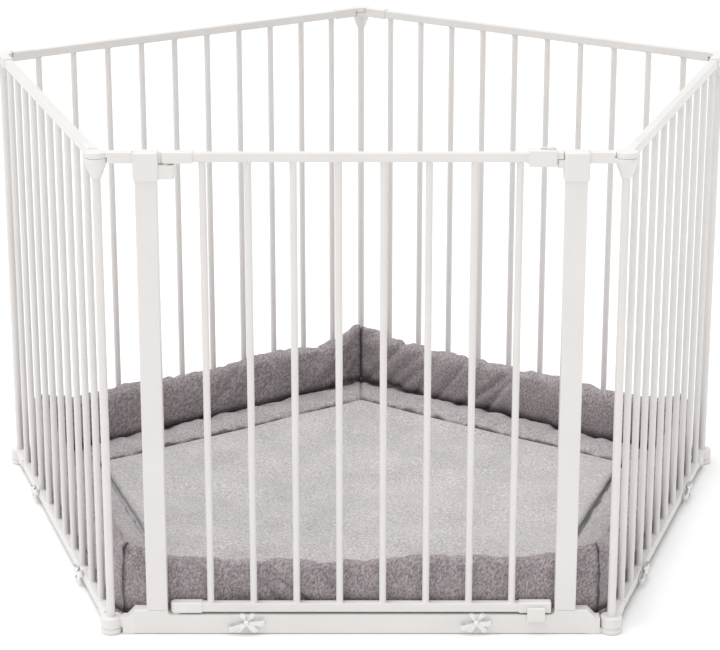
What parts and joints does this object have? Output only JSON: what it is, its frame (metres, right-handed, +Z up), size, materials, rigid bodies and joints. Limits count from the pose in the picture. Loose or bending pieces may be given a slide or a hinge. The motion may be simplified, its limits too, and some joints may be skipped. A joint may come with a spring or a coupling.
{
  "type": "playpen",
  "caption": "Five-sided metal playpen with upright bars, hinged corners, a lift-and-swing gate and a padded mat whose upturned sides are tied on with ribbon bows.",
  "frame": {"origin": "middle of the pen's overall box, on the floor", "axes": "+Z up, -Y out through the gate, +X along the gate section from the gate's hinge to its latch"},
  "size_m": [1.196, 1.1402, 0.7174],
  "materials": {
    "frame_steel": "satin white powder coat",
    "fitting_plastic": "smooth white moulding",
    "pin_steel": "turned steel",
    "mat_fabric": "heathered woven cloth over foam",
    "ribbon": "satin ribbon"
  },
  "bodies": {
    "gate_frame": {"front_corner_post": "frame_steel", "front_ties": "ribbon", "front_top_eye": "fitting_plastic", "front_top_socket": "fitting_plastic", "gate_pivot_pins": "pin_steel", "left_gate_post": "frame_steel", "left_post_cap": "fitting_plastic", "left_threshold_end": "fitting_plastic", "mat_pad": "mat_fabric", "mat_side_back_left": "mat_fabric", "mat_side_back_right": "mat_fabric", "mat_side_front": "mat_fabric", "mat_side_left": "mat_fabric", "mat_side_right": "mat_fabric", "right_gate_post": "frame_steel", "right_post_cap": "fitting_plastic", "right_threshold_end": "fitting_plastic", "threshold_beam": "frame_steel"},
    "left_panel": {"left_bars": "frame_steel", "left_bottom_rail": "frame_steel", "left_corner_post": "frame_steel", "left_foot": "fitting_plastic", "left_hinge_eyes": "fitting_plastic", "left_ties": "ribbon", "left_top_rail": "frame_steel", "left_top_socket": "fitting_plastic"},
    "back_left_panel": {"back_left_bars": "frame_steel", "back_left_bottom_rail": "frame_steel", "back_left_corner_post": "frame_steel", "back_left_foot": "fitting_plastic", "back_left_hinge_eyes": "fitting_plastic", "back_left_ties": "ribbon", "back_left_top_rail": "frame_steel", "back_left_top_socket": "fitting_plastic"},
    "right_panel": {"right_bars": "frame_steel", "right_bottom_rail": "frame_steel", "right_corner_post": "frame_steel", "right_foot": "fitting_plastic", "right_hinge_eyes": "fitting_plastic", "right_ties": "ribbon", "right_top_rail": "frame_steel", "right_top_socket": "fitting_plastic"},
    "back_right_panel": {"back_right_bars": "frame_steel", "back_right_bottom_rail": "frame_steel", "back_right_corner_post": "frame_steel", "back_right_foot": "fitting_plastic", "back_right_hinge_eyes": "fitting_plastic", "back_right_ties": "ribbon", "back_right_top_rail": "frame_steel", "back_right_top_socket": "fitting_plastic"},
    "gate_pivots": {"gate_pivot_bushes": "fitting_plastic"},
    "gate": {"gate_top_rail": "frame_steel", "gate_bottom_rail": "frame_steel", "gate_bars": "frame_steel", "gate_top_hinge_fitting": "fitting_plastic", "gate_bottom_hinge_fitting": "fitting_plastic", "gate_stop_fitting": "fitting_plastic", "latch_housing": "fitting_plastic", "latch_spring": "pin_steel"},
    "latch_button": {"latch_button": "fitting_plastic"}
  },
  "joints": [
    {"name": "right_corner_hinge", "type": "hinge", "parent": "gate_frame", "child": "right_panel", "pos_m": [0.36, -0.55338, 0.35], "axis": [0, 0, -1], "range_deg": [0, 72]},
    {"name": "back_right_corner_hinge", "type": "hinge", "parent": "right_panel", "child": "back_right_panel", "pos_m": [0.58249, 0.13138, 0.35], "axis": [0, 0, -1], "range_deg": [0, 72]},
    {"name": "left_corner_hinge", "type": "hinge", "parent": "gate_frame", "child": "left_panel", "pos_m": [-0.36, -0.55338, 0.35], "axis": [0, 0, 1], "range_deg": [0, 72]},
    {"name": "back_left_corner_hinge", "type": "hinge", "parent": "left_panel", "child": "back_left_panel", "pos_m": [-0.58249, 0.13138, 0.35], "axis": [0, 0, 1], "range_deg": [0, 72]},
    {"name": "gate_swing", "type": "hinge", "parent": "gate_frame", "child": "gate_pivots", "pos_m": [-0.2655, -0.55338, 0.35], "axis": [0, 0, -1], "range_deg": [0, 90]},
    {"name": "gate_lift", "type": "slide", "parent": "gate_pivots", "child": "gate", "axis": [0, 0, 1], "range_m": [0, 0.008]},
    {"name": "latch_slide", "type": "slide", "parent": "gate", "child": "latch_button", "axis": [-1, 0, 0], "range_m": [0, 0.008], "stiffness_N_per_m": 250, "springref_m": -0.004}
  ]
}
